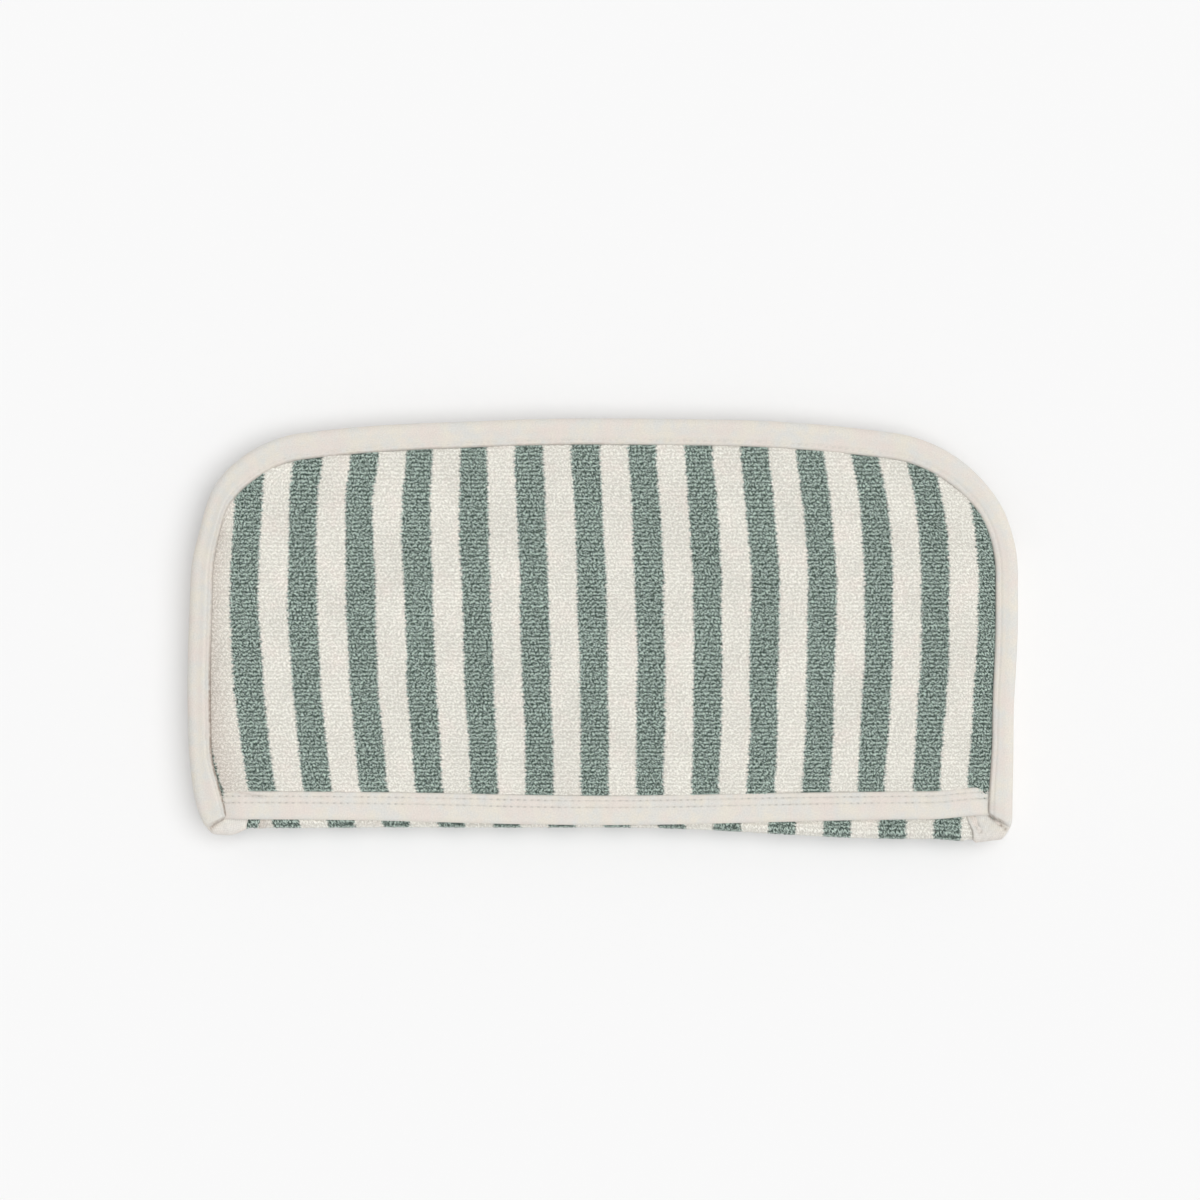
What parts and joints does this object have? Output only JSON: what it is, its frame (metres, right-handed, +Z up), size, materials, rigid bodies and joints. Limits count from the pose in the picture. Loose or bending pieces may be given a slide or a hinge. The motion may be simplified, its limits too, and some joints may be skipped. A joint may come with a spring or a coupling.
{
  "type": "hooded baby towel",
  "caption": "Rectangular striped terry towel with a full-width hood pocket at one bound, rounded end, folded zigzag behind its hood.",
  "frame": {"origin": "middle of the folded towel's lowest plane, under the middle of its bounding box", "axes": "+Z up out of the hood; +Y from the hood's mouth to the hood's crowned top edge; X along the folds and the mouth, the longest way"},
  "size_m": [0.414, 0.21, 0.0232],
  "materials": {
    "striped_terry": "looped pile, matt",
    "binding_tape": "plain bias weave, matt",
    "sewing_thread": "spun thread, matt"
  },
  "bodies": {
    "front": {"towel_panel_front": "striped_terry", "edge_binding_front": "binding_tape", "edge_stitch_front": "sewing_thread", "hood_margin": "striped_terry", "fold_first_terry": "striped_terry", "fold_first_binding_left": "binding_tape", "fold_first_binding_right": "binding_tape"},
    "hood": {"hood_panel": "striped_terry", "hood_mouth_binding": "binding_tape", "hood_mouth_stitch_inner": "sewing_thread", "hood_mouth_stitch_outer": "sewing_thread"},
    "second": {"towel_panel_second": "striped_terry", "edge_binding_second_left": "binding_tape", "edge_binding_second_right": "binding_tape", "edge_stitch_second_left": "sewing_thread", "edge_stitch_second_right": "sewing_thread", "fold_second_terry": "striped_terry", "fold_second_binding_left": "binding_tape", "fold_second_binding_right": "binding_tape"},
    "third": {"towel_panel_third": "striped_terry", "edge_binding_third_left": "binding_tape", "edge_binding_third_right": "binding_tape", "edge_stitch_third_left": "sewing_thread", "edge_stitch_third_right": "sewing_thread", "fold_third_terry": "striped_terry", "fold_third_binding_left": "binding_tape", "fold_third_binding_right": "binding_tape"},
    "end": {"towel_panel_end": "striped_terry", "edge_binding_end": "binding_tape", "edge_stitch_end": "sewing_thread"}
  },
  "joints": [
    {"name": "hood_lift", "type": "hinge", "parent": "front", "child": "hood", "pos_m": [0, 0.0925, 0.0217], "axis": [-1, 0, 0], "range_deg": [0, 10]},
    {"name": "fold_first", "type": "hinge", "parent": "front", "child": "second", "pos_m": [0, -0.1005, 0.0145], "axis": [-1, 0, 0], "range_deg": [0, 179], "deforming": ["fold_first_terry", "fold_first_binding_left", "fold_first_binding_right"]},
    {"name": "fold_second", "type": "hinge", "parent": "second", "child": "third", "pos_m": [0, 0.03593, 0.0095], "axis": [1, 0, 0], "range_deg": [0, 179], "deforming": ["fold_second_terry", "fold_second_binding_left", "fold_second_binding_right"]},
    {"name": "fold_third", "type": "hinge", "parent": "third", "child": "end", "pos_m": [0, -0.0955, 0.0045], "axis": [-1, 0, 0], "range_deg": [0, 179], "deforming": ["fold_third_terry", "fold_third_binding_left", "fold_third_binding_right"]}
  ],
  "couplings": [
    {"joint": "fold_third", "follows": "fold_second", "ratio": 1}
  ]
}
